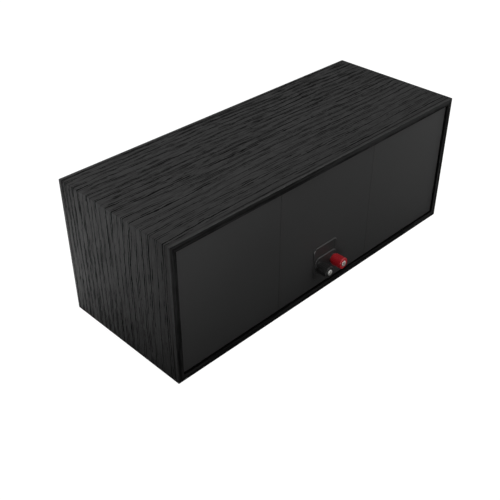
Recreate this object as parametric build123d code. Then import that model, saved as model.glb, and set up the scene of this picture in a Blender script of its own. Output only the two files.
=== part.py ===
"""Center channel speaker: a wood-grain box with two cone drivers, a dome driver and rear binding posts.

Millimetres. Origin at the centre of the bottom face, +Z up, the drivers face -Y,
the binding posts face +Y. Left and right are as seen from the front.
"""

import os
from math import cos, radians, sin

from build123d import *

# ---------------------------------------------------------------- dimensions
W, D, H = 470.0, 181.0, 175.0      # cabinet, outside
T = 15.0                           # wall thickness
LIP = 8.0                          # wall edge that shows around the rear panel
EDGE_R = 0.8                       # rounding of the wrapped outer edges
REAR_RECESS = 3.0                  # rear panel below the rear edge
REAR_T = 12.0                      # rear panel thickness
BAFFLE_T = 18.0                    # front baffle thickness, flush with the front edge
FIT = 0.25                         # gap around the inset panels

YF, YR = -D / 2, D / 2             # front and rear planes
Y_PANEL = YR - REAR_RECESS         # rear face of the rear panel
Y_PANEL_IN = Y_PANEL - REAR_T      # inner face of the rear panel
Y_BAFFLE_IN = YF + BAFFLE_T        # inner face of the baffle
ZC = H / 2

BRACE_X, BRACE_T = 79.5, 11.0      # window braces
WOOFER_X = 148.0                   # bass-midrange driver axes
W_FLANGE_R, W_FLANGE_T = 73.0, 4.0
W_BODY_R = 61.5
W_SCREW_PCR = 68.0
TW_R, TW_T = 52.0, 4.0             # dome driver faceplate
TW_SCREW_PCR = 48.0

POST_X, POST_Z = 12.7, 38.1        # binding posts, 25.4 mm apart
POST_R, SOCKET_R = 3.5, 2.05       # tube post and its 4 mm socket
SOCKET_L = 20.0
POST_END = YR + 17.6               # outer end of the tube post
CAP_R = 7.3
CAP_Y0, CAP_Y1 = YR + 0.8, YR + 16.7
PLATE_W, PLATE_Z0, PLATE_Z1, PLATE_R = 42.0, 19.0, 65.2, 7.0   # terminal plate
PLATE_Y = YR - 1.5                 # label field surface
BLOCK_Y = YR - 0.3                 # raised post field surface

BOARD_W, BOARD_L, BOARD_T = 112.0, 80.0, 1.6
BOARD_Y, BOARD_Z = 8.0, T + 6.0
WIRE_R = 1.1

os.makedirs("parts", exist_ok=True)
NODES = {}


# ------------------------------------------------------------------- helpers
def keep(name, shape):
    NODES[name] = shape


def block(x0, x1, y0, y1, z0, z1):
    return Pos((x0 + x1) / 2, (y0 + y1) / 2, (z0 + z1) / 2) * Box(x1 - x0, y1 - y0, z1 - z0)


def rod(x, z, r, y0, y1):
    """Cylinder along Y."""
    return Pos(x, (y0 + y1) / 2, z) * Rot(90, 0, 0) * Cylinder(r, y1 - y0)


def post(x, y, r, z0, z1):
    """Cylinder along Z."""
    return Pos(x, y, (z0 + z1) / 2) * Cylinder(r, z1 - z0)


def turned(points):
    """Solid of revolution about Y from (radius, depth) points."""
    return revolve(make_face(Polyline(*points, close=True)), Axis.Y)


def turned_edges(edges):
    return revolve(make_face(edges), Axis.Y)


def crown(r, a0, a1):
    """Arc of a sphere centred on the axis, from (0, a0) to (r, a1)."""
    h = a1 - a0
    big = (r * r + h * h) / (2 * h)
    return ThreePointArc((0, a0), (r / 2, a0 + big - (big * big - r * r / 4) ** 0.5), (r, a1))


def rounded_slab(w, h, r, t):
    """Rounded rectangle in the XZ plane, from y = 0 to y = t."""
    return Rot(90, 0, 0) * Pos(0, 0, -t) * extrude(RectangleRounded(w, h, r), t)


def frustum_y(w, h, r, t, c):
    """Rounded slab whose +Y rim has a chamfer of c."""
    s = rounded_slab(w, h, r, t)
    top = s.faces().sort_by(Axis.Y)[-1]
    return chamfer(top.edges(), c)


def lead(points, radii, r=WIRE_R):
    path = FilletPolyline(*points, radius=radii)
    start = path @ 0
    section = Plane(origin=start, z_dir=path % 0) * Circle(r)
    return sweep(section, path=path)


def group(solids):
    return Compound(children=list(solids))


# ------------------------------------------------------------------- cabinet
sleeve = Pos(0, 0, ZC) * Rot(90, 0, 0) * Pos(0, 0, -D / 2) * extrude(
    RectangleRounded(W, H, EDGE_R), D
)
rims = sleeve.faces().sort_by(Axis.Y)
sleeve = fillet(list(rims[0].edges()) + list(rims[-1].edges()), 0.5)
sleeve -= block(-W / 2 + T, W / 2 - T, YF - 1, YR + 1, T, H - T)
sleeve -= block(-W / 2 + LIP, W / 2 - LIP, Y_PANEL_IN, YR + 1, LIP, H - LIP)
sleeve -= block(-W / 2 + LIP, W / 2 - LIP, YF - 1, Y_BAFFLE_IN, LIP, H - LIP)


def wedge(points):
    """Prism in the XZ plane through the whole depth."""
    return Rot(90, 0, 0) * Pos(0, 0, -D) * extrude(make_face(Polyline(*points, close=True)), 2 * D)


mid = H / 2
corners = {"tl": (-W / 2 - 9, H + 9), "tr": (W / 2 + 9, H + 9), "bl": (-W / 2 - 9, -9), "br": (W / 2 + 9, -9)}
ml, mr = (-W / 2 + mid, mid), (W / 2 - mid, mid)
keep("top_panel", sleeve & wedge([corners["tl"], corners["tr"], mr, ml]))
keep("bottom_panel", sleeve & wedge([corners["bl"], ml, mr, corners["br"]]))
keep("left_panel", sleeve & wedge([corners["tl"], ml, corners["bl"]]))
keep("right_panel", sleeve & wedge([corners["tr"], corners["br"], mr]))

inset_w, inset_h = W - 2 * LIP - 2 * FIT, H - 2 * LIP - 2 * FIT

# Front baffle: rebated openings for three drivers, pilot holes for their screws.
baffle = Pos(0, YF, ZC) * rounded_slab(inset_w, inset_h, 1.5, BAFFLE_T)
baffle = chamfer(baffle.faces().sort_by(Axis.Y)[0].edges(), 0.7)
w_angles = [45 + 90 * k for k in range(4)]
t_angles = [30 + 60 * k for k in range(6)]
for sx in (-1, 1):
    x = sx * WOOFER_X
    baffle -= rod(x, ZC, W_FLANGE_R + 0.3, YF - 1, YF + W_FLANGE_T)
    baffle -= rod(x, ZC, W_BODY_R + 0.5, YF - 1, Y_BAFFLE_IN + 1)
    for a in w_angles:
        baffle -= rod(x + W_SCREW_PCR * cos(radians(a)), ZC + W_SCREW_PCR * sin(radians(a)), 1.8, YF, YF + 16)
baffle -= rod(0, ZC, TW_R + 0.3, YF - 1, YF + TW_T)
baffle -= rod(0, ZC, 40.5, YF - 1, Y_BAFFLE_IN + 1)
for a in t_angles:
    baffle -= rod(TW_SCREW_PCR * cos(radians(a)), ZC + TW_SCREW_PCR * sin(radians(a)), 1.5, YF, YF + 15)
keep("front_baffle", baffle)

# Rear panel: a shallow seat for the terminal plate, two hairline lines over the braces.
rear = Pos(0, Y_PANEL_IN, ZC) * rounded_slab(inset_w, inset_h, 1.5, REAR_T)
plate_h, plate_zc = PLATE_Z1 - PLATE_Z0, (PLATE_Z0 + PLATE_Z1) / 2
SEAT = 2.0
rear -= Pos(0, Y_PANEL - SEAT, plate_zc) * rounded_slab(PLATE_W + 0.2, plate_h + 0.2, PLATE_R + 0.1, SEAT + 1)
for sx in (-1, 1):
    rear -= rod(sx * POST_X, POST_Z, 4.6, Y_PANEL_IN - 1, YR)
    rear -= block(sx * BRACE_X - 0.3, sx * BRACE_X + 0.3, Y_PANEL - 0.25, YR, 0, H)
keep("rear_panel", rear)

# Window braces between the baffle and the rear panel.
for side, sx in (("left", -1), ("right", 1)):
    b = block(sx * BRACE_X - BRACE_T / 2, sx * BRACE_X + BRACE_T / 2, Y_BAFFLE_IN, Y_PANEL_IN, T, H - T)
    yc = (Y_BAFFLE_IN + Y_PANEL_IN) / 2
    window = Pos(sx * BRACE_X - 20, yc, ZC) * Rot(0, 90, 0) * extrude(RectangleRounded(98, 96, 18), 40)
    keep(side + "_brace", b - window)


# ------------------------------------------- bass-midrange drivers (r, depth)
def screw(x, z, y0, head_r, head_h, shank_r, length, slot):
    """Flush countersunk-style screw pointing +Y with a cross recess."""
    s = rod(x, z, head_r, y0, y0 + head_h) + rod(x, z, shank_r, y0 + head_h, y0 + length)
    s -= block(x - slot, x + slot, y0 - 1, y0 + head_h * 0.6, z - 0.45, z + 0.45)
    s -= block(x - 0.45, x + 0.45, y0 - 1, y0 + head_h * 0.6, z - slot, z + slot)
    return s


basket = turned([
    (63.2, 0.0), (72.4, 0.0), (73.0, 0.6), (73.0, 4.0), (W_BODY_R, 4.0), (W_BODY_R, 9.0), (60.2, 10.0),
    (48.0, 39.5), (48.0, 43.0), (18.0, 43.0), (18.0, 41.0), (45.5, 41.0), (57.0, 9.5), (57.0, 6.0),
    (61.0, 6.0), (61.0, 2.2),
])
# ledge that carries the spider
basket += turned([(42.5, 31.0), (50.2, 31.0), (49.6, 32.6), (42.5, 32.6)])
# six windows between the spokes
opening = turned([(40.0, 12.5), (64.0, 12.5), (64.0, 29.0), (40.0, 29.0)])
sector = Rot(90, 0, 0) * Pos(0, 0, -45) * extrude(
    make_face(Polyline((0, 0), (80 * cos(radians(19)), -80 * sin(radians(19))), (80 * cos(radians(19)), 80 * sin(radians(19))), close=True)), 45
)
for k in range(6):
    basket -= opening & (Rot(0, 60 * k, 0) * sector)
for a in w_angles:
    cx, cz = W_SCREW_PCR * cos(radians(a)), W_SCREW_PCR * sin(radians(a))
    basket -= rod(cx, cz, 2.2, -1, 5)
    basket -= rod(cx, cz, 3.7, -1, 1.9)

surround = turned_edges([
    Line((46.8, 6.0), (49.0, 6.0)),
    ThreePointArc((49.0, 6.0), (53.0, 2.0), (57.0, 6.0)),
    Line((57.0, 6.0), (60.8, 6.0)),
    Line((60.8, 6.0), (60.8, 5.2)),
    Line((60.8, 5.2), (57.8, 5.2)),
    ThreePointArc((57.8, 5.2), (53.0, 0.4), (48.2, 5.2)),
    Line((48.2, 5.2), (46.8, 5.2)),
    Line((46.8, 5.2), (46.8, 6.0)),
])
cone = turned_edges([
    Line((13.4, 27.2), (13.4, 28.6)),
    ThreePointArc((13.4, 28.6), (33.0, 15.6), (47.6, 7.2)),
    Line((47.6, 7.2), (48.6, 7.2)),
    Line((48.6, 7.2), (48.6, 6.0)),
    Line((48.6, 6.0), (47.4, 6.0)),
    ThreePointArc((47.4, 6.0), (32.4, 14.5), (13.4, 27.2)),
])
dust_cap = turned_edges([
    Line((0, 13.6), (0, 14.6)),
    crown(19.0, 14.6, 23.1),
    Line((19.0, 23.1), (19.8, 22.5)),
    crown(19.8, 13.6, 22.5),
])
spider_pts_f, spider_pts_b = [(13.4, 29.4)], [(13.4, 30.0)]
for k in range(1, 11):
    r = 14.6 + k * 2.4
    da = 0.0 if k == 10 else (0.9 if k % 2 else -0.9)
    spider_pts_f.append((r, 29.4 + da))
    spider_pts_b.append((r, 30.0 + da))
spider_pts_f += [(40.2, 29.4), (42.6, 30.4), (47.8, 30.4)]
spider_pts_b += [(40.0, 30.0), (42.4, 31.0), (47.8, 31.0)]
spider = turned(spider_pts_f + spider_pts_b[::-1])
voice_coil = turned([
    (12.5, 24.0), (12.8, 24.0), (13.4, 24.6), (13.4, 30.6), (12.8, 31.2), (12.8, 41.0),
    (13.4, 41.0), (13.4, 51.0), (12.5, 51.0),
])
w_top_plate = turned([(14.0, 43.0), (40.0, 43.0), (40.0, 49.0), (14.0, 49.0)])
w_magnet = turned([(20.0, 49.0), (44.0, 49.0), (45.0, 50.0), (45.0, 66.0), (44.0, 67.0), (20.0, 67.0)])
w_yoke = turned([(3.0, 43.0), (12.0, 43.0), (12.0, 67.0), (41.0, 67.0), (42.0, 68.0), (42.0, 71.0), (41.0, 72.0), (3.0, 72.0)])

woofer_screws = []
for side, sx in (("left", -1), ("right", 1)):
    place = Pos(sx * WOOFER_X, YF, ZC)
    # terminal tab on the frame, on the side towards the middle of the box
    tab = block(-57.5 if sx > 0 else 53.0, -53.0 if sx > 0 else 57.5, 21.0, 30.0, -5.0, 5.0)
    strut = block(-59 if sx > 0 else 48.6, -48.6 if sx > 0 else 59, 29.0, 32.0, -5.0, 5.0)
    keep(side + "_woofer_basket", place * (basket + tab + strut))
    keep(side + "_woofer_surround", place * surround)
    keep(side + "_woofer_cone", place * cone)
    keep(side + "_woofer_dust_cap", place * dust_cap)
    keep(side + "_woofer_spider", place * spider)
    keep(side + "_woofer_voice_coil", place * voice_coil)
    keep(side + "_woofer_top_plate", place * w_top_plate)
    keep(side + "_woofer_magnet", place * w_magnet)
    keep(side + "_woofer_yoke", place * w_yoke)
    for a in w_angles:
        woofer_screws.append(screw(
            sx * WOOFER_X + W_SCREW_PCR * cos(radians(a)), ZC + W_SCREW_PCR * sin(radians(a)),
            YF + 0.1, 3.5, 1.8, 1.75, 15.0, 2.2,
        ))
keep("woofer_screws", group(woofer_screws))

# -------------------------------------------------- dome driver (r, depth)
faceplate = turned_edges([
    Line((45.0, 0.0), (51.4, 0.0)),
    Line((51.4, 0.0), (52.0, 0.6)),
    Line((52.0, 0.6), (52.0, 4.0)),
    Line((52.0, 4.0), (40.0, 4.0)),
    Line((40.0, 4.0), (40.0, 12.0)),
    Line((40.0, 12.0), (14.2, 12.0)),
    Line((14.2, 12.0), (14.2, 11.0)),
    Line((14.2, 11.0), (16.8, 11.0)),
    Line((16.8, 11.0), (16.8, 9.6)),
    ThreePointArc((16.8, 9.6), (28.0, 3.6), (45.0, 0.0)),
])
tweeter_screws = []
for a in t_angles:
    cx, cz = TW_SCREW_PCR * cos(radians(a)), TW_SCREW_PCR * sin(radians(a))
    faceplate -= rod(cx, cz, 1.9, -1, 5)
    faceplate -= rod(cx, cz, 2.9, -1, 1.6)
    tweeter_screws.append(screw(cx, ZC + cz, YF + 0.1, 2.7, 1.4, 1.45, 14.0, 1.7))
dome = turned_edges([
    Line((0, 5.6), (0, 5.9)),
    crown(12.6, 5.9, 11.0),
    Line((12.6, 11.0), (13.0, 11.0)),
    Line((13.0, 11.0), (13.0, 10.6)),
    crown(13.0, 5.6, 10.6),
])
t_surround = turned_edges([
    Line((13.0, 11.0), (13.2, 11.0)),
    ThreePointArc((13.2, 11.0), (14.6, 9.6), (16.0, 11.0)),
    Line((16.0, 11.0), (16.7, 11.0)),
    Line((16.7, 11.0), (16.7, 10.6)),
    Line((16.7, 10.6), (16.4, 10.6)),
    ThreePointArc((16.4, 10.6), (14.6, 9.2), (13.0, 10.6)),
    Line((13.0, 10.6), (13.0, 11.0)),
])
t_coil = turned([(12.6, 11.0), (12.9, 11.0), (12.9, 13.0), (13.2, 13.0), (13.2, 16.0), (12.6, 16.0)])
t_top_plate = turned([(13.7, 12.0), (30.0, 12.0), (30.0, 15.0), (13.7, 15.0)])
t_magnet = turned([(17.0, 15.0), (33.0, 15.0), (33.0, 24.0), (17.0, 24.0)])
t_yoke = turned([(0, 12.4), (12.1, 12.4), (12.1, 24.0), (31.0, 24.0), (31.0, 28.0), (0, 28.0)])
t_cup = turned([(36.0, 12.0), (38.0, 12.0), (38.0, 37.0), (36.0, 39.0), (0, 39.0), (0, 37.0), (35.4, 37.0), (36.0, 36.4)])
tp = Pos(0, YF, ZC)
keep("tweeter_faceplate", tp * faceplate)
keep("tweeter_dome", tp * dome)
keep("tweeter_surround", tp * t_surround)
keep("tweeter_voice_coil", tp * t_coil)
keep("tweeter_top_plate", tp * t_top_plate)
keep("tweeter_magnet", tp * t_magnet)
keep("tweeter_yoke", tp * t_yoke)
keep("tweeter_rear_cup", tp * t_cup)
keep("tweeter_screws", group(tweeter_screws))

# ------------------------------------------------------------ rear terminals
plate = Pos(0, Y_PANEL - SEAT, plate_zc) * frustum_y(PLATE_W, plate_h, PLATE_R, PLATE_Y - (Y_PANEL - SEAT), 1.0)
plate += Pos(0, PLATE_Y - 0.5, 38.0) * frustum_y(38.0, 25.0, 7.0, BLOCK_Y - PLATE_Y + 0.5, 0.8)
# bare label field above the posts, sunk a little
plate -= Pos(0, PLATE_Y - 0.25, 57.6) * rounded_slab(31.0, 12.0, 1.0, 2.0)
for sx in (-1, 1):
    plate -= rod(sx * POST_X, POST_Z, POST_R + 0.2, Y_PANEL - 5, YR + 1)
keep("terminal_plate", plate)

FLAT = 3.05                        # the tube's keying flat, from its axis
nuts = []
for name, sx in (("red", -1), ("black", 1)):
    x = sx * POST_X
    tube = rod(x, POST_Z, POST_R, Y_PANEL_IN - 12, POST_END)
    tube = chamfer(tube.faces().sort_by(Axis.Y)[-1].edges(), 0.35)
    tube -= rod(x, POST_Z, SOCKET_R, POST_END - SOCKET_L, POST_END + 1)
    tube -= block(x - 5, x + 5, BLOCK_Y, YR + 9.0, POST_Z + FLAT, POST_Z + 5)
    keep(name + "_post", tube)
    # insulating collar on the raised post field
    collar = Pos(x, 0, POST_Z) * turned([
        (POST_R + 0.05, BLOCK_Y), (6.6, BLOCK_Y), (6.6, BLOCK_Y + 0.3), (6.2, BLOCK_Y + 0.7), (POST_R + 0.05, BLOCK_Y + 0.7),
    ])
    keep(name + "_collar", collar)
    # keyed clamp washer, in the foot of the cap
    y0 = BLOCK_Y + 0.75
    washer = rod(x, POST_Z, 5.2, y0, y0 + 1.0)
    bore = rod(x, POST_Z, POST_R + 0.06, y0 - 1, y0 + 2) - block(x - 5, x + 5, y0 - 2, y0 + 3, POST_Z + FLAT + 0.06, POST_Z + 6)
    keep(name + "_washer", washer - bore)
    # fluted screw cap
    c0, c1 = CAP_Y0, CAP_Y1
    cap = Pos(x, 0, POST_Z) * turned_edges([
        Line((5.5, c0), (6.3, c0)),
        Line((6.3, c0), (6.3, c0 + 1.4)),
        Line((6.3, c0 + 1.4), (CAP_R, c0 + 2.2)),
        Line((CAP_R, c0 + 2.2), (CAP_R, c1 - 1.2)),
        ThreePointArc((CAP_R, c1 - 1.2), (CAP_R - 0.35, c1 - 0.35), (CAP_R - 1.2, c1)),
        Line((CAP_R - 1.2, c1), (4.4, c1)),
        Line((4.4, c1), (POST_R + 0.06, c1 - 0.7)),
        Line((POST_R + 0.06, c1 - 0.7), (POST_R + 0.06, c0 + 0.8)),
        Line((POST_R + 0.06, c0 + 0.8), (5.5, c0 + 0.8)),
        Line((5.5, c0 + 0.8), (5.5, c0)),
    ])
    for k in range(18):
        a = radians(20 * k + 10)
        cap -= rod(x + (CAP_R + 0.55) * cos(a), POST_Z + (CAP_R + 0.55) * sin(a), 0.85, c0 + 2.6, c1 - 1.7)
    keep(name + "_cap", cap)
    # nut and solder tag inside the box
    nut = Pos(x, Y_PANEL_IN - 4.0, POST_Z) * Rot(90, 0, 0) * Pos(0, 0, -4.0) * extrude(RegularPolygon(6.6, 6), 4.0)
    nut -= rod(x, POST_Z, POST_R, Y_PANEL_IN - 6, Y_PANEL_IN + 1)
    nuts.append(nut)
    tag = rod(x, POST_Z, 5.4, Y_PANEL_IN - 4.8, Y_PANEL_IN - 4.0) + block(x - 2, x + 2, Y_PANEL_IN - 4.8, Y_PANEL_IN - 4.0, POST_Z - 11, POST_Z)
    tag -= rod(x, POST_Z, POST_R, Y_PANEL_IN - 6, Y_PANEL_IN)
    nuts.append(tag)
keep("post_nuts_and_tags", group(nuts))

# ----------------------------------------------------------------- crossover
bx, by = BOARD_W / 2 - 6, BOARD_L / 2 - 6
board = block(-BOARD_W / 2, BOARD_W / 2, BOARD_Y - BOARD_L / 2, BOARD_Y + BOARD_L / 2, BOARD_Z, BOARD_Z + BOARD_T)
standoffs, board_screws = [], []
bottom = NODES["bottom_panel"]
for sx in (-1, 1):
    for sy in (-1, 1):
        px, py = sx * bx, BOARD_Y + sy * by
        board -= post(px, py, 1.7, BOARD_Z - 1, BOARD_Z + 3)
        standoffs.append(post(px, py, 3.5, T, BOARD_Z) - post(px, py, 1.7, T - 1, BOARD_Z + 1))
        bottom -= post(px, py, 1.5, T - 8, T + 1)
        s = post(px, py, 3.0, BOARD_Z + BOARD_T, BOARD_Z + BOARD_T + 2.0) + post(px, py, 1.45, T - 7, BOARD_Z + BOARD_T)
        board_screws.append(s)
NODES["bottom_panel"] = bottom
keep("crossover_board", board)
keep("board_standoffs", group(standoffs))
keep("board_screws", group(board_screws))
zb = BOARD_Z + BOARD_T


def coil(x, y, r, h):
    """Air-core inductor: bobbin flanges with the winding between them, standing on the board."""
    c = post(x, y, r, zb, zb + 1.5) + post(x, y, r - 1.5, zb + 1.5, zb + h - 1.5) + post(x, y, r, zb + h - 1.5, zb + h)
    return c - post(x, y, r * 0.38, zb - 1, zb + h + 1)


keep("woofer_inductor", coil(-33, 18, 16.0, 20.0))
keep("tweeter_inductor", coil(34, -6, 12.0, 15.0))
caps = []
for y, r, l in ((-14.0, 7.0, 34.0), (3.0, 6.0, 30.0)):
    c = Pos(-2, y, zb + r) * Rot(0, 90, 0) * Cylinder(r, l)
    caps.append(c)
keep("capacitors", group(caps))
keep("resistors", group([
    block(-8, 20, 11, 20, zb, zb + 9.0),
    block(-8, 20, 23, 32, zb, zb + 9.0),
]))

# -------------------------------------------------------------- inner leads
solder_y = Y_PANEL_IN - 4.8
leads = []
for sx in (-1, 1):
    x = sx * POST_X
    z0 = POST_Z - 9.0
    leads.append(lead([(x, solder_y, z0), (x, solder_y - 13, z0), (x + sx * 6, BOARD_Y + 36, z0 - 2.5), (x + sx * 6, BOARD_Y + 36, zb)], [4.5, 2.2]))
keep("input_leads", group(leads))

leads = []
for sx in (-1, 1):
    x = sx * 9.0
    yb = YF + 39.0
    leads.append(lead([(x, yb, ZC - 12), (x, yb + 16, ZC - 12), (x + sx * 3, BOARD_Y - 34, ZC - 34), (x + sx * 3, BOARD_Y - 34, zb)], [8.0, 8.0]))
keep("tweeter_leads", group(leads))

for side, sx in (("left", -1), ("right", 1)):
    leads = []
    for dz in (-2.2, 2.2):
        xt = sx * (WOOFER_X - 55.2)
        y0 = YF + 32.0
        leads.append(lead([
            (xt, y0, ZC + dz), (xt, y0 + 46, ZC + dz), (sx * 70, 16.0, ZC - 14 + dz), (sx * 50, 22.0 + dz, 52.0 + dz), (sx * 50, 22.0 + dz, zb),
        ], [12.0, 10.0, 9.0]))
    keep(side + "_woofer_leads", group(leads))

# ------------------------------------------------------------- damping pads
for side, sx in (("left", -1), ("right", 1)):
    x0, x1 = sorted((sx * 102.0, sx * (W / 2 - T - 3)))
    pad = block(x0, x1, -6.0, Y_PANEL_IN - 2, T + 3, H - T - 3)
    keep(side + "_damping_pad", fillet(pad.edges(), 8.0))

for name, shape in NODES.items():
    export_step(shape, "parts/" + name + ".step")
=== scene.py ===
"""Center channel speaker seen from above and behind: finishes, soft parts, light and camera."""

import math

import bmesh
import bpy
import numpy as np
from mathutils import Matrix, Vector, noise


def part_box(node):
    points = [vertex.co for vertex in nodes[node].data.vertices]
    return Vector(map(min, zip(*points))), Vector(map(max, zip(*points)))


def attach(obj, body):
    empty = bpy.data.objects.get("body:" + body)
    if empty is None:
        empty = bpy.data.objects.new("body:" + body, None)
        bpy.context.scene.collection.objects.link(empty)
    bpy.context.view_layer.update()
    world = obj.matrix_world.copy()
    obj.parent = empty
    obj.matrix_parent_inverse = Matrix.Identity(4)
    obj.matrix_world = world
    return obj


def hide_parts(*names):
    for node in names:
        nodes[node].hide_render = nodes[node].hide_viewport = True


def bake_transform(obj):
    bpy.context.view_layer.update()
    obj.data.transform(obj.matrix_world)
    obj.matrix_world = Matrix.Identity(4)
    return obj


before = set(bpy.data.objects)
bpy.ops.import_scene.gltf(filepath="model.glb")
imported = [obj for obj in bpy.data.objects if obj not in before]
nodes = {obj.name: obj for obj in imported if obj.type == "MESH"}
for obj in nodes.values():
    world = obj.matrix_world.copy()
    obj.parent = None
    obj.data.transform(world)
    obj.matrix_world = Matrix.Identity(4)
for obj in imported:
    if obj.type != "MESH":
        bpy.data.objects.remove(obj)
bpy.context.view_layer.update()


scene = bpy.context.scene
scene.view_settings.view_transform = "Standard"
scene.view_settings.look = "None"

# ------------------------------------------------------------ sizes, in metres
W, D, H = 0.470, 0.181, 0.175
YF = -D / 2
YR = D / 2
ZC = H / 2
WOOFER_X = 0.148


# ------------------------------------------------------------- node shorthand
class Tree:
    """Short names for building a material's nodes."""

    def __init__(self, name):
        self.mat = bpy.data.materials.new(name)
        self.mat.use_nodes = True
        self.nt = self.mat.node_tree
        self.nt.nodes.clear()
        self.out = self.nt.nodes.new("ShaderNodeOutputMaterial")
        self.bsdf = self.nt.nodes.new("ShaderNodeBsdfPrincipled")
        self.nt.links.new(self.bsdf.outputs[0], self.out.inputs[0])
        tc = self.nt.nodes.new("ShaderNodeTexCoord")
        self.obj = tc.outputs["Object"]
        sep = self.nt.nodes.new("ShaderNodeSeparateXYZ")
        self.nt.links.new(self.obj, sep.inputs[0])
        self.x, self.y, self.z = sep.outputs

    def put(self, socket, value):
        if isinstance(value, bpy.types.NodeSocket):
            self.nt.links.new(value, socket)
        else:
            socket.default_value = value

    def math(self, op, a, b=None, c=None):
        n = self.nt.nodes.new("ShaderNodeMath")
        n.operation = op
        for k, v in enumerate((a, b, c)):
            if v is not None:
                self.put(n.inputs[k], v)
        return n.outputs[0]

    def add(self, a, b):
        return self.math("ADD", a, b)

    def sub(self, a, b):
        return self.math("SUBTRACT", a, b)

    def mul(self, a, b):
        return self.math("MULTIPLY", a, b)

    def vec(self, x, y, z):
        n = self.nt.nodes.new("ShaderNodeCombineXYZ")
        for k, v in enumerate((x, y, z)):
            self.put(n.inputs[k], v)
        return n.outputs[0]

    def noise(self, vector, scale=1.0, detail=2.0, rough=0.5, distort=0.0):
        n = self.nt.nodes.new("ShaderNodeTexNoise")
        self.nt.links.new(vector, n.inputs["Vector"])
        n.inputs["Scale"].default_value = scale
        n.inputs["Detail"].default_value = detail
        n.inputs["Roughness"].default_value = rough
        n.inputs["Distortion"].default_value = distort
        return n.outputs["Fac"]

    def cells(self, vector, scale, feature="F1"):
        n = self.nt.nodes.new("ShaderNodeTexVoronoi")
        n.feature = feature
        self.nt.links.new(vector, n.inputs["Vector"])
        n.inputs["Scale"].default_value = scale
        return n.outputs["Distance"]

    def ease(self, value, a, b, lo=0.0, hi=1.0):
        """Smooth step of value from a to b, giving lo to hi."""
        n = self.nt.nodes.new("ShaderNodeMapRange")
        n.interpolation_type = "SMOOTHSTEP"
        self.put(n.inputs["Value"], value)
        for key, v in (("From Min", a), ("From Max", b), ("To Min", lo), ("To Max", hi)):
            n.inputs[key].default_value = v
        return n.outputs["Result"]

    def line(self, value, a, b, lo, hi):
        n = self.nt.nodes.new("ShaderNodeMapRange")
        self.put(n.inputs["Value"], value)
        for key, v in (("From Min", a), ("From Max", b), ("To Min", lo), ("To Max", hi)):
            n.inputs[key].default_value = v
        return n.outputs["Result"]

    def blend(self, fac, a, b):
        n = self.nt.nodes.new("ShaderNodeMix")
        n.data_type = "RGBA"
        self.put(n.inputs["Factor"], fac)
        for key, v in ((6, a), (7, b)):
            if isinstance(v, bpy.types.NodeSocket):
                self.nt.links.new(v, n.inputs[key])
            else:
                n.inputs[key].default_value = (*v, 1.0)
        return n.outputs[2]

    def bump(self, height, strength, distance):
        n = self.nt.nodes.new("ShaderNodeBump")
        n.inputs["Strength"].default_value = strength
        n.inputs["Distance"].default_value = distance
        self.nt.links.new(height, n.inputs["Height"])
        self.nt.links.new(n.outputs[0], self.bsdf.inputs["Normal"])

    def facing(self):
        g = self.nt.nodes.new("ShaderNodeNewGeometry")
        sep = self.nt.nodes.new("ShaderNodeSeparateXYZ")
        self.nt.links.new(g.outputs["True Normal"], sep.inputs[0])
        return sep.outputs

    def set(self, **values):
        names = {
            "color": "Base Color", "rough": "Roughness", "metal": "Metallic", "spec": "Specular IOR Level",
            "coat": "Coat Weight", "coat_rough": "Coat Roughness", "sheen": "Sheen Weight",
            "sheen_rough": "Sheen Roughness", "aniso": "Anisotropic", "ior": "IOR",
        }
        for key, v in values.items():
            socket = self.bsdf.inputs[names[key]]
            if key == "color" and not isinstance(v, bpy.types.NodeSocket):
                v = (*v, 1.0)
            self.put(socket, v)
        return self


def grey(v):
    return (v, v, v)


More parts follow.
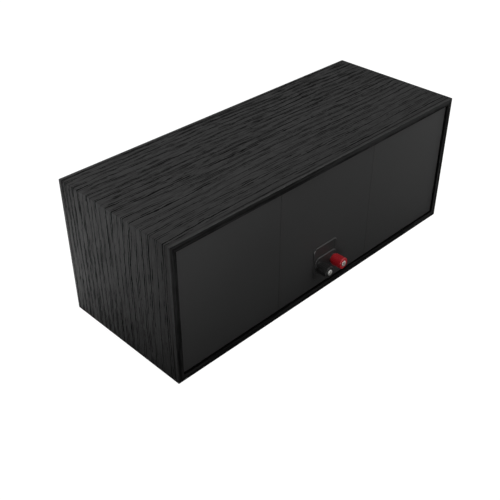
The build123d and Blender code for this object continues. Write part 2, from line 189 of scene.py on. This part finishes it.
# ------------------------------------------------------------------ materials
def ash_vinyl(name, along):
    """Black ash wood-grain wrap. The grain runs round the box: along is each panel's own way round."""
    t = Tree(name)
    if along == "top":
        s = t.x
    elif along == "right":
        s = t.sub(W / 2 + H, t.z)
    elif along == "left":
        s = t.sub(t.z, W / 2 + H)
    else:
        s = t.sub(W + H, t.x)
    # the wrap turns in over the front and rear edges, so its grain goes on across them
    nx, ny, nz = t.facing()
    edge = t.ease(t.math("ABSOLUTE", ny), 0.75, 0.95)
    depth = {"top": t.sub(H, t.z), "bottom": t.z, "right": t.sub(W / 2, t.x), "left": t.add(t.x, W / 2)}[along]
    v = t.add(t.y, t.mul(t.mul(depth, edge), t.math("SIGN", ny)))
    # slow waves and small wander of the grain
    slow = t.noise(t.vec(t.mul(s, 3.2), t.mul(v, 7.5), 0.31), detail=1.5)
    mid = t.noise(t.vec(t.mul(s, 11.0), t.mul(v, 38.0), 4.6), detail=1.5)
    small = t.noise(t.vec(t.mul(s, 60.0), t.mul(v, 170.0), 7.7), detail=3.0, rough=0.6)
    wander = t.add(t.mul(t.sub(mid, 0.5), 0.0040), t.mul(t.sub(small, 0.5), 0.0030))
    uneven = t.noise(t.vec(t.mul(s, 1.3), t.mul(v, 62.0), 5.2), detail=1.0)
    vw = t.add(v, t.add(t.add(t.mul(t.sub(slow, 0.5), 0.022), t.mul(t.sub(uneven, 0.5), 0.0055)), wander))
    # yearly rings: about 6 mm apart at the front, about 13 mm at the rear
    g = t.sub(t.mul(vw, 118.0), t.mul(t.mul(vw, vw), 230.0))
    per_metre = t.sub(118.0, t.mul(vw, 460.0))

    def lines(count, shift, seed, along_scale, thin, thick, lo, hi):
        """Thin dark lines along the grain, each broken into dashes of its own."""
        n = t.add(t.mul(g, count), shift)
        which = t.math("ROUND", n)
        away = t.math("ABSOLUTE", t.math("DIVIDE", t.sub(n, which), t.mul(per_metre, count)))
        swell = t.noise(t.vec(t.mul(s, along_scale * 1.7), t.mul(which, 5.17), seed + 2.3), detail=2.0)
        ratio = t.math("DIVIDE", away, t.line(swell, 0.3, 0.7, thin, thick))
        gaps = t.noise(t.vec(t.mul(s, along_scale), t.mul(which, 7.31), seed), detail=4.0, rough=0.68)
        return t.ease(ratio, 0.62, 1.0, 1.0, 0.0), t.ease(gaps, lo, hi), ratio

    ring, ring_on, ring_ratio = lines(1.0, 0.0, 3.1, 15.0, 0.0006, 0.0011, 0.37, 0.53)
    half, half_on, half_ratio = lines(2.0, 0.5, 8.4, 26.0, 0.0004, 0.0008, 0.46, 0.57)
    # open pores: short dashes within and between the rings
    pores = t.noise(t.vec(t.mul(s, 46.0), t.mul(vw, 540.0), 0.7), detail=2.0, rough=0.55)
    dashes = t.ease(pores, 0.53, 0.63)
    fibre = t.noise(t.vec(t.mul(s, 10.0), t.mul(vw, 1500.0), 1.9), detail=3.0, rough=0.65)
    patch = t.noise(t.vec(t.mul(s, 5.0), t.mul(v, 16.0), 9.2), detail=2.0)
    # the wide rings at the rear run on longer, with fewer dashes between them
    rearward = t.ease(v, -0.015, 0.050)
    ring_on = t.math("MAXIMUM", ring_on, t.mul(rearward, 0.55))
    streak = t.mul(ring, t.line(ring_on, 0, 1, 0.12, 1.0))
    streak = t.math("MAXIMUM", streak, t.mul(half, t.line(half_on, 0, 1, 0.0, 0.85)))
    flecks = t.mul(t.mul(dashes, t.line(patch, 0.3, 0.7, 0.16, 0.56)), t.line(rearward, 0, 1, 1.1, 0.55))
    dark = t.math("MINIMUM", t.add(streak, flecks), 1.0)
    rim = t.mul(t.ease(ring_ratio, 1.1, 2.4, 1.0, 0.0), ring_on)
    mottle = t.noise(t.vec(t.mul(s, 75.0), t.mul(vw, 760.0), 2.8), detail=2.0, rough=0.6)
    tone = t.add(t.add(t.mul(fibre, 0.50), t.line(mottle, 0.3, 0.7, 0.0, 0.50)), t.mul(rim, 0.20))
    # painted highlight: a paler strip along the front and rear edges, where the rounded edge catches light, with the
    # pores faded out in it, and a dark fold line beside it
    near = t.sub(YR, t.math("ABSOLUTE", t.y))
    painted_edge_highlight = t.mul(t.ease(t.add(near, t.mul(t.sub(small, 0.5), 0.0012)), 0.0022, 0.0034, 1.0, 0.0), t.sub(1.0, edge))
    crease = t.mul(t.ease(t.math("ABSOLUTE", t.sub(near, t.add(0.0036, t.mul(mid, 0.0022)))), 0.0004, 0.0010, 0.8, 0.0), t.ease(patch, 0.36, 0.50))
    dark = t.math("MAXIMUM", t.mul(dark, t.line(painted_edge_highlight, 0, 1, 1.0, 0.25)), t.mul(crease, t.sub(1.0, edge)))
    tone = t.add(tone, t.mul(painted_edge_highlight, 0.22))
    # painted shade: the wrap grows darker towards the rear edge, from 36 mm to 80 mm behind the middle
    tone = t.add(tone, t.ease(v, 0.036, 0.080, 0.03, -0.11))
    tone = t.math("MINIMUM", t.math("MAXIMUM", tone, 0.0), 1.0)
    light = t.blend(tone, grey(ASH_LO), grey(ASH_HI))
    wood = t.blend(dark, light, grey(ASH_PORE))
    # the turned-in strip is dull and streaky. Faces turned inward, where the wrap ends inside the box, show dark bare
    # board and are painted near black as shade in the recess
    inwards = {"top": t.mul(nz, -1.0), "bottom": nz, "right": t.mul(nx, -1.0), "left": nx}[along]
    inside = t.ease(inwards, 0.5, 0.8)
    strip = t.noise(t.vec(t.mul(s, 10.0), t.mul(depth, 430.0), 5.4), detail=3.5, rough=0.62)
    # painted highlight and shade on the top panel's turned-in strip: lighter low on the strip at +x and high on it at
    # -x, and brighter still along its upper edge towards -x
    if along == "top":
        strip = t.add(strip, t.mul(t.mul(s, 1.1), t.sub(t.mul(depth, 125.0), 0.5)))
        strip = t.add(strip, t.mul(t.ease(s, -0.230, 0.060, 0.17, 0.02), t.line(depth, 0.001, 0.007, 1.6, -0.1)))
    strip = t.add(strip, t.mul(t.sub(mottle, 0.5), 0.35))
    cut = t.blend(t.ease(strip, 0.38, 0.64), grey(0.0036), grey(0.0175))
    raw_board_and_painted_shade = t.blend(t.add(t.mul(fibre, 0.5), t.mul(mottle, 0.5)), grey(0.0008), grey(0.0026))
    t.set(color=t.blend(inside, t.blend(edge, wood, cut), raw_board_and_painted_shade), spec=ASH_SPEC)
    t.set(rough=t.add(t.line(dark, 0, 1, 0.44, 0.62), t.mul(t.sub(fibre, 0.5), 0.10)))
    height = t.sub(t.mul(fibre, 0.18), dark)
    t.bump(t.mul(height, t.sub(1.0, edge)), 0.55, 0.00022)
    return t.mat


def laminate(name, lo, hi, rough, grain=2600.0, spec=0.5, bump=0.22):
    """Satin black laminate with a fine pebbled emboss and slight clouding."""
    t = Tree(name)
    fine = t.noise(t.obj, scale=grain, detail=2.0, rough=0.6)
    pebble = t.cells(t.obj, grain * 0.55)
    cloud = t.noise(t.obj, scale=9.0, detail=3.0)
    tone = t.add(t.mul(cloud, 0.55), t.mul(fine, 0.45))
    t.set(color=t.blend(tone, grey(lo), grey(hi)), spec=spec)
    t.set(rough=t.add(t.line(cloud, 0.2, 0.8, rough - 0.03, rough + 0.04), t.mul(t.sub(fine, 0.5), 0.08)))
    t.bump(t.add(t.mul(pebble, 0.6), t.mul(fine, 0.5)), bump, 0.00012)
    return t.mat


def moulded(name, lo, hi, rough, coat=0.0, scale=1800.0, bump=0.15, spec=0.5):
    """Moulded plastic: fine spark-eroded skin, slight flow marks in the colour."""
    t = Tree(name)
    fine = t.noise(t.obj, scale=scale, detail=3.0, rough=0.6)
    flow = t.noise(t.obj, scale=60.0, detail=2.0, distort=0.6)
    t.set(color=t.blend(t.add(t.mul(flow, 0.7), t.mul(fine, 0.3)), lo, hi), spec=spec, coat=coat, coat_rough=0.18)
    t.set(rough=t.add(t.line(flow, 0.2, 0.8, rough - 0.04, rough + 0.05), t.mul(t.sub(fine, 0.5), 0.06)))
    t.bump(t.add(fine, t.mul(flow, 0.4)), bump, 0.00006)
    return t.mat


def radial(t, cx, cz):
    """Distance from and angle round a driver's axis."""
    dx, dz = t.sub(t.x, cx), t.sub(t.z, cz)
    r = t.math("SQRT", t.add(t.mul(dx, dx), t.mul(dz, dz)))
    return r, t.math("ARCTAN2", dz, dx), dx, dz


def cone_skin(name, cx):
    """Black pressed-fibre cone: short fibres, a faint concentric press mark and a soft satin coat."""
    t = Tree(name)
    r, a, dx, dz = radial(t, cx, ZC)
    fibres = t.noise(t.obj, scale=700.0, detail=5.0, rough=0.7, distort=1.2)
    spokes = t.noise(t.vec(t.mul(dx, 1.0), t.mul(r, 60.0), t.mul(dz, 1.0)), scale=210.0, detail=3.0, rough=0.65)
    rings = t.math("SINE", t.mul(r, 2 * math.pi / 0.0016))
    mix = t.add(t.mul(fibres, 0.6), t.mul(spokes, 0.4))
    t.set(color=t.blend(mix, grey(0.006), grey(0.024)), spec=0.45)
    t.set(rough=t.line(mix, 0.3, 0.7, 0.46, 0.62))
    t.bump(t.add(t.mul(mix, 0.9), t.mul(rings, 0.10)), 0.35, 0.00015)
    return t.mat


def rubber(name):
    t = Tree(name)
    fine = t.noise(t.obj, scale=2400.0, detail=3.0, rough=0.65)
    bloom = t.noise(t.obj, scale=90.0, detail=3.0)
    t.set(color=t.blend(t.add(t.mul(bloom, 0.7), t.mul(fine, 0.3)), grey(0.0055), grey(0.016)), spec=0.4)
    t.set(rough=t.line(bloom, 0.25, 0.75, 0.44, 0.58), sheen=0.12, sheen_rough=0.45)
    t.bump(fine, 0.18, 0.00005)
    return t.mat


def painted(name, lo, hi, rough, scale=2800.0):
    """Fine textured powder paint."""
    t = Tree(name)
    speck = t.noise(t.obj, scale=scale, detail=2.0, rough=0.7)
    peel = t.cells(t.obj, scale * 0.6)
    t.set(color=t.blend(speck, grey(lo), grey(hi)), spec=0.5)
    t.set(rough=t.line(speck, 0.3, 0.7, rough - 0.05, rough + 0.07))
    t.bump(t.add(t.mul(peel, 0.8), t.mul(speck, 0.5)), 0.3, 0.00010)
    return t.mat


def turned_metal(name, cx, cz, lo, hi, rough, pitch=0.00022, metal=1.0, aniso=0.5):
    """Plated, turned metal: fine lathe rings and a little handling haze."""
    t = Tree(name)
    r, a, dx, dz = radial(t, cx, cz)
    rings = t.noise(t.vec(t.mul(r, 1.0 / pitch), t.mul(t.y, 0.35 / pitch), 0.0), scale=1.0, detail=1.0)
    haze = t.noise(t.obj, scale=380.0, detail=3.0)
    t.set(color=t.blend(t.add(t.mul(rings, 0.5), t.mul(haze, 0.5)), lo, hi), metal=metal, aniso=aniso)
    t.set(rough=t.line(haze, 0.25, 0.75, rough - 0.05, rough + 0.08))
    t.bump(rings, 0.12, 0.00003)
    return t.mat


def dome_metal(name):
    t = Tree(name)
    r, a, dx, dz = radial(t, 0.0, ZC)
    spun = t.noise(t.vec(t.mul(r, 9000.0), t.mul(dx, 40.0), t.mul(dz, 40.0)), scale=1.0, detail=2.0)
    haze = t.noise(t.obj, scale=260.0, detail=3.0)
    t.set(color=t.blend(t.add(t.mul(spun, 0.6), t.mul(haze, 0.4)), (0.36, 0.36, 0.37), (0.52, 0.52, 0.53)), metal=1.0, aniso=0.4)
    t.set(rough=t.line(haze, 0.3, 0.7, 0.30, 0.40))
    t.bump(spun, 0.08, 0.00002)
    return t.mat


def general(name, lo, hi, rough, scale, metal=0.0, bump=0.25, depth=0.0001, sheen=0.0):
    """Inner pieces: two-tone mottled finish at the material's own scale."""
    t = Tree(name)
    n1 = t.noise(t.obj, scale=scale, detail=4.0, rough=0.6)
    n2 = t.noise(t.obj, scale=scale * 0.08, detail=2.0)
    t.set(color=t.blend(t.add(t.mul(n1, 0.6), t.mul(n2, 0.4)), lo, hi), metal=metal, sheen=sheen)
    t.set(rough=t.line(n1, 0.3, 0.7, max(rough - 0.07, 0.05), rough + 0.07))
    t.bump(n1, bump, depth)
    return t.mat


ASH_LO, ASH_HI, ASH_PORE, ASH_SPEC = 0.0240, 0.0570, 0.0008, 0.025

finish = {}
for panel, along in (("top_panel", "top"), ("bottom_panel", "bottom"), ("right_panel", "right"), ("left_panel", "left")):
    finish[panel] = ash_vinyl("ash_" + along, along)
finish["rear_panel"] = laminate("rear_laminate", 0.0205, 0.0310, 0.47, spec=0.35)
finish["front_baffle"] = laminate("baffle_laminate", 0.0080, 0.0140, 0.42, grain=2000.0)
frame_paint = painted("frame_paint", 0.0060, 0.0150, 0.50)
screw_finish = turned_metal("screw_oxide", 0.0, 0.0, (0.012, 0.012, 0.013), (0.030, 0.030, 0.032), 0.42, pitch=0.0003, metal=0.7, aniso=0.0)
for side, x in (("left", -WOOFER_X), ("right", WOOFER_X)):
    finish[side + "_woofer_basket"] = frame_paint
    finish[side + "_woofer_cone"] = cone_skin("cone_" + side, x)
    finish[side + "_woofer_dust_cap"] = moulded("dust_cap_" + side, grey(0.006), grey(0.013), 0.36, coat=0.15)
finish["woofer_screws"] = screw_finish
finish["tweeter_screws"] = screw_finish
finish["tweeter_faceplate"] = moulded("flare_plastic", grey(0.0055), grey(0.0115), 0.40)
finish["tweeter_dome"] = dome_metal("dome_aluminium")
finish["terminal_plate"] = moulded("terminal_plastic", grey(0.0110), grey(0.0190), 0.46, bump=0.25)
finish["red_cap"] = moulded("cap_red", (0.300, 0.0050, 0.0100), (0.420, 0.0080, 0.0150), 0.36, coat=0.30, bump=0.10)
finish["black_cap"] = moulded("cap_black", grey(0.0050), grey(0.0095), 0.40, coat=0.10, bump=0.10)
collar = moulded("collar_plastic", grey(0.0035), grey(0.0075), 0.45)
for colour, x in (("red", -0.0127), ("black", 0.0127)):
    finish[colour + "_collar"] = collar
    nickel = turned_metal("nickel_" + colour, x, 0.0381, (0.78, 0.77, 0.75), (0.95, 0.94, 0.92), 0.55)
    finish[colour + "_post"] = nickel
    finish[colour + "_washer"] = nickel

fibreboard = general("bare_fibreboard", (0.22, 0.14, 0.075), (0.34, 0.23, 0.13), 0.8, 1600.0)
steel = general("zinc_steel", (0.38, 0.38, 0.39), (0.58, 0.58, 0.60), 0.35, 900.0, metal=1.0, bump=0.1)
ferrite = general("ferrite_grey", (0.018, 0.018, 0.020), (0.045, 0.045, 0.048), 0.6, 1500.0)
winding = general("winding_copper", (0.30, 0.13, 0.05), (0.55, 0.27, 0.12), 0.35, 1800.0, metal=0.8, bump=0.3)
sheath = general("lead_sheath", (0.10, 0.006, 0.008), (0.16, 0.012, 0.014), 0.45, 1400.0, bump=0.1)
for side in ("left", "right"):
    finish[side + "_brace"] = fibreboard
    finish[side + "_woofer_voice_coil"] = winding
    finish[side + "_woofer_top_plate"] = steel
    finish[side + "_woofer_yoke"] = steel
    finish[side + "_woofer_magnet"] = ferrite
    finish[side + "_woofer_leads"] = sheath
finish["tweeter_voice_coil"] = winding
finish["tweeter_top_plate"] = steel
finish["tweeter_yoke"] = steel
finish["tweeter_magnet"] = ferrite
finish["tweeter_rear_cup"] = moulded("cup_plastic", grey(0.007), grey(0.014), 0.5)
finish["post_nuts_and_tags"] = general("nut_nickel", (0.50, 0.49, 0.46), (0.75, 0.74, 0.71), 0.3, 900.0, metal=1.0, bump=0.1)
finish["crossover_board"] = general("board_green", (0.010, 0.060, 0.022), (0.020, 0.105, 0.040), 0.4, 1200.0)
finish["board_standoffs"] = general("spacer_white", (0.60, 0.60, 0.57), (0.78, 0.78, 0.75), 0.5, 900.0)
finish["board_screws"] = steel
finish["woofer_inductor"] = winding
finish["tweeter_inductor"] = winding
finish["capacitors"] = general("film_yellow", (0.32, 0.22, 0.012), (0.50, 0.36, 0.03), 0.32, 700.0, bump=0.12)
finish["resistors"] = general("cement_white", (0.58, 0.57, 0.53), (0.80, 0.79, 0.75), 0.8, 1500.0, bump=0.5)
finish["input_leads"] = sheath
finish["tweeter_leads"] = sheath


def dress(obj, mat):
    obj.data.materials.clear()
    obj.data.materials.append(mat)


for name, mat in finish.items():
    dress(nodes[name], mat)


# ------------------------------------------- flexing parts, turned about Y
def spun_profile(name, profile, cx, mat, steps=160):
    """Closed profile of (radius, depth) in mm, turned about a driver's axis into one closed mesh."""
    bm = bmesh.new()
    rows = []
    for k in range(steps):
        a = 2 * math.pi * k / steps
        rows.append([
            bm.verts.new((cx + r * 0.001 * math.cos(a), YF + d * 0.001, ZC + r * 0.001 * math.sin(a)))
            for r, d in profile
        ])
    n = len(profile)
    for k in range(steps):
        here, there = rows[k], rows[(k + 1) % steps]
        for j in range(n):
            bm.faces.new((here[j], here[(j + 1) % n], there[(j + 1) % n], there[j]))
    bmesh.ops.recalc_face_normals(bm, faces=bm.faces)
    mesh = bpy.data.meshes.new(name)
    bm.to_mesh(mesh)
    bm.free()
    for p in mesh.polygons:
        p.use_smooth = True
    obj = bpy.data.objects.new(name, mesh)
    scene.collection.objects.link(obj)
    dress(obj, mat)
    return obj


def arc(cr, cd, radius, a0, a1, count):
    """Points on an arc in (radius, depth), angles in degrees; 90 is towards the front."""
    out = []
    for k in range(count + 1):
        a = math.radians(a0 + (a1 - a0) * k / count)
        out.append((cr + radius * math.cos(a), cd - radius * math.sin(a)))
    return out


def flex(obj):
    """Bakes the object's placement into its mesh."""
    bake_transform(obj)


rubber_mat = rubber("roll_rubber")
spider_mat = general("spider_cloth", (0.22, 0.12, 0.035), (0.40, 0.24, 0.08), 0.85, 1500.0, bump=0.6, sheen=0.2)
roll = (
    [(46.8, 6.0), (48.6, 6.0)] + arc(53.0, 6.0, 4.0, 180, 0, 22) + [(57.6, 6.0), (60.8, 6.0), (60.8, 5.25), (60.7, 5.2), (58.2, 5.2)]
    + arc(53.0, 5.2, 4.8, 0, 180, 26) + [(47.6, 5.2), (46.9, 5.2), (46.8, 5.3)]
)
spider_front, spider_back = [], []
for k in range(0, 121):
    r = 13.4 + (40.0 - 13.4) * k / 120
    fade = min(1.0, (r - 13.4) / 2.0, (40.0 - r) / 2.0)
    d = 0.9 * fade * math.sin((r - 13.4) / 2.4 * math.pi)
    spider_front.append((r, 29.4 + d))
    spider_back.append((r, 30.0 + d))
spider_front += [(42.5, 30.4), (47.8, 30.4)]
spider_back += [(42.4, 31.0), (47.8, 31.0)]
for side, x in (("left", -WOOFER_X), ("right", WOOFER_X)):
    s = spun_profile(side + "_roll_surround", roll, x, rubber_mat)
    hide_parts(side + "_woofer_surround")
    flex(s)
    p = spun_profile(side + "_spider_disc", spider_front + spider_back[::-1], x, spider_mat, steps=96)
    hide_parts(side + "_woofer_spider")
    flex(p)

small_roll = (
    [(13.0, 11.0), (13.2, 11.0)] + arc(14.6, 11.0, 1.4, 180, 0, 14)[1:] + [(16.7, 11.0), (16.7, 10.6), (16.4, 10.6)]
    + arc(14.7, 10.6, 1.7, 0, 180, 16)[1:-1] + [(13.0, 10.6)]
)
ts = spun_profile("tweeter_roll", small_roll, 0.0, rubber_mat, steps=128)
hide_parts("tweeter_surround")
flex(ts)


# ------------------------------------------------------- wadding in the two ends
def wadding(name):
    """White polyester wadding: crossing fibres, thin and thick places, a soft matt sheen."""
    t = Tree(name)
    threads = t.noise(t.vec(t.mul(t.x, 260.0), t.mul(t.y, 1500.0), t.mul(t.z, 420.0)), detail=5.0, rough=0.7, distort=1.6)
    cross = t.noise(t.vec(t.mul(t.x, 1500.0), t.mul(t.y, 300.0), t.mul(t.z, 900.0)), detail=4.0, rough=0.7, distort=1.2)
    thick = t.noise(t.obj, scale=55.0, detail=3.0, rough=0.55)
    fuzz = t.add(t.mul(threads, 0.55), t.mul(cross, 0.45))
    tone = t.add(t.mul(fuzz, 0.6), t.mul(thick, 0.4))
    t.set(color=t.blend(t.ease(tone, 0.30, 0.70), (0.50, 0.50, 0.485), (0.86, 0.86, 0.84)), spec=0.2)
    t.set(rough=t.line(fuzz, 0.3, 0.7, 0.86, 0.98), sheen=0.35, sheen_rough=0.6)
    t.bump(fuzz, 0.8, 0.0012)
    return t.mat


def folded_batt(name, node, mat, cuts=46):
    """A batt of wadding folded into three layers: crowned faces, rounded folds, layer lines and lumps, inside its CAD box."""
    lo, hi = (np.array(c, float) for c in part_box(node))
    middle, half = (lo + hi) / 2, (hi - lo) / 2
    bm = bmesh.new()
    bmesh.ops.create_cube(bm, size=2.0)
    bmesh.ops.subdivide_edges(bm, edges=bm.edges[:], cuts=cuts, use_grid_fill=True)
    for v in bm.verts:
        q = np.array(v.co, float)
        # soft-cornered box
        q /= np.sum(np.abs(q) ** 7.0) ** (1 / 7.0)
        x, y, z = q
        # where two layers lie on each other, open on one side and folded over on the other
        side = max(abs(x), abs(z)) ** 6
        for at, fold in ((-1 / 3, 1.0), (1 / 3, -1.0)):
            open_here = 1.0 - 0.8 / (1.0 + math.exp(-14.0 * (z * fold - 0.55)))
            groove = math.exp(-(((y - at) / 0.075) ** 2)) * open_here
            q[0] *= 1 - 0.055 * groove * side
            q[2] *= 1 - 0.045 * groove * side
        # crowned faces: full in the middle, thinner towards the edges
        q[1] *= 0.985 - 0.085 * (0.5 * (x * x + z * z)) ** 1.5
        place = Vector((middle + q * half).tolist())
        lump = noise.noise(place * 34.0) * 0.5 + noise.noise(place * 83.0) * 0.28 + noise.noise(place * 210.0) * 0.12
        q *= 0.972 + 0.026 * max(-1.0, min(1.0, lump))
        v.co = (middle + q * half).tolist()
    bmesh.ops.recalc_face_normals(bm, faces=bm.faces[:])
    mesh = bpy.data.meshes.new(name)
    bm.to_mesh(mesh)
    bm.free()
    for p in mesh.polygons:
        p.use_smooth = True
    obj = bpy.data.objects.new(name, mesh)
    scene.collection.objects.link(obj)
    dress(obj, mat)
    return obj


wadding_mat = wadding("polyester_wadding")
for side in ("left", "right"):
    batt = folded_batt(side + "_wadding_batt", side + "_damping_pad", wadding_mat)
    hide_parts(side + "_damping_pad")
    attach(batt, "cabinet")


# -------------------------------------------------------------- studio and floor
def area(name, place, target, size, power, spread=180.0):
    lamp = bpy.data.lights.new(name, "AREA")
    lamp.energy = power
    lamp.size = size
    lamp.spread = math.radians(spread)
    obj = bpy.data.objects.new(name, lamp)
    scene.collection.objects.link(obj)
    obj.location = place
    obj.rotation_euler = (Vector(target) - Vector(place)).to_track_quat("-Z", "Y").to_euler()
    return obj


world = bpy.data.worlds.new("studio")
scene.world = world
world.use_nodes = True
wt = world.node_tree
wt.nodes.clear()
w_out = wt.nodes.new("ShaderNodeOutputWorld")
w_mix = wt.nodes.new("ShaderNodeMixShader")
w_path = wt.nodes.new("ShaderNodeLightPath")
w_room = wt.nodes.new("ShaderNodeBackground")
w_back = wt.nodes.new("ShaderNodeBackground")
w_room.inputs[0].default_value = (1, 1, 1, 1)
w_room.inputs[1].default_value = 0.03
w_back.inputs[0].default_value = (1, 1, 1, 1)
w_back.inputs[1].default_value = 1.0
wt.links.new(w_path.outputs["Is Camera Ray"], w_mix.inputs[0])
wt.links.new(w_room.outputs[0], w_mix.inputs[1])
wt.links.new(w_back.outputs[0], w_mix.inputs[2])
wt.links.new(w_mix.outputs[0], w_out.inputs[0])

floor_mesh = bpy.data.meshes.new("floor")
fb = bmesh.new()
bmesh.ops.create_grid(fb, x_segments=8, y_segments=8, size=6.0)
fb.to_mesh(floor_mesh)
fb.free()
floor = bpy.data.objects.new("floor", floor_mesh)
floor.location = (0, 0, -0.0003)
scene.collection.objects.link(floor)
fm = bpy.data.materials.new("pale_floor")
fm.use_nodes = True
ft = fm.node_tree
ft.nodes.clear()
f_out = ft.nodes.new("ShaderNodeOutputMaterial")
f_mix = ft.nodes.new("ShaderNodeMixShader")
f_path = ft.nodes.new("ShaderNodeLightPath")
f_dif = ft.nodes.new("ShaderNodeBsdfDiffuse")
f_dif.inputs[0].default_value = (0.10, 0.10, 0.10, 1)
f_sum = ft.nodes.new("ShaderNodeAddShader")
f_glow = ft.nodes.new("ShaderNodeEmission")
f_glow.inputs[1].default_value = 0.985
f_veil = ft.nodes.new("ShaderNodeBsdfDiffuse")
f_veil.inputs[0].default_value = (0.10, 0.10, 0.10, 1)
ft.links.new(f_glow.outputs[0], f_sum.inputs[0])
ft.links.new(f_veil.outputs[0], f_sum.inputs[1])
ft.links.new(f_path.outputs["Is Camera Ray"], f_mix.inputs[0])
ft.links.new(f_dif.outputs[0], f_mix.inputs[1])
ft.links.new(f_sum.outputs[0], f_mix.inputs[2])
ft.links.new(f_mix.outputs[0], f_out.inputs[0])
floor.data.materials.append(fm)

MIDDLE = (0, 0, 0.09)
area("overhead", (0.0, 0.55, 1.66), MIDDLE, 1.2, 11.0)
area("overhead_front", (-0.45, -0.75, 1.55), MIDDLE, 1.2, 10.0)
area("front_fill", (0.0, -1.66, 0.44), MIDDLE, 1.2, 13.0)
area("rear_fill", (-0.80, 1.20, 0.90), MIDDLE, 0.9, 4.80)
area("side_soft", (0.674, 0.007, 0.120), (0.235, -0.032, 0.165), 0.244, 0.250, spread=41.0)
area("side_low", (1.163, -0.009, 0.120), (0.235, -0.143, 0.060), 0.096, 0.130, spread=15.2)
area("rear_soft", (0.235, 0.666, 0.089), (-0.310, 0.090, 0.105), 0.356, 0.560, spread=35.1)
area("rear_high", (0.109, 1.163, 0.143), (0.207, 0.090, 0.254), 0.122, 0.290, spread=36.0)
area("right_rear", (-0.78, 0.22, 0.22), MIDDLE, 0.45, 0.80)

# -------------------------------------------------------------------- camera
cam_data = bpy.data.cameras.new("camera")
cam_data.lens = 56.484
cam_data.sensor_width = 36.0
cam = bpy.data.objects.new("camera", cam_data)
scene.collection.objects.link(cam)
cam.location = (0.60156, 0.56300, 0.59296)
cam.rotation_euler = Vector((-1, -1, -1)).to_track_quat("-Z", "Y").to_euler()
scene.camera = cam

bpy.context.view_layer.update()
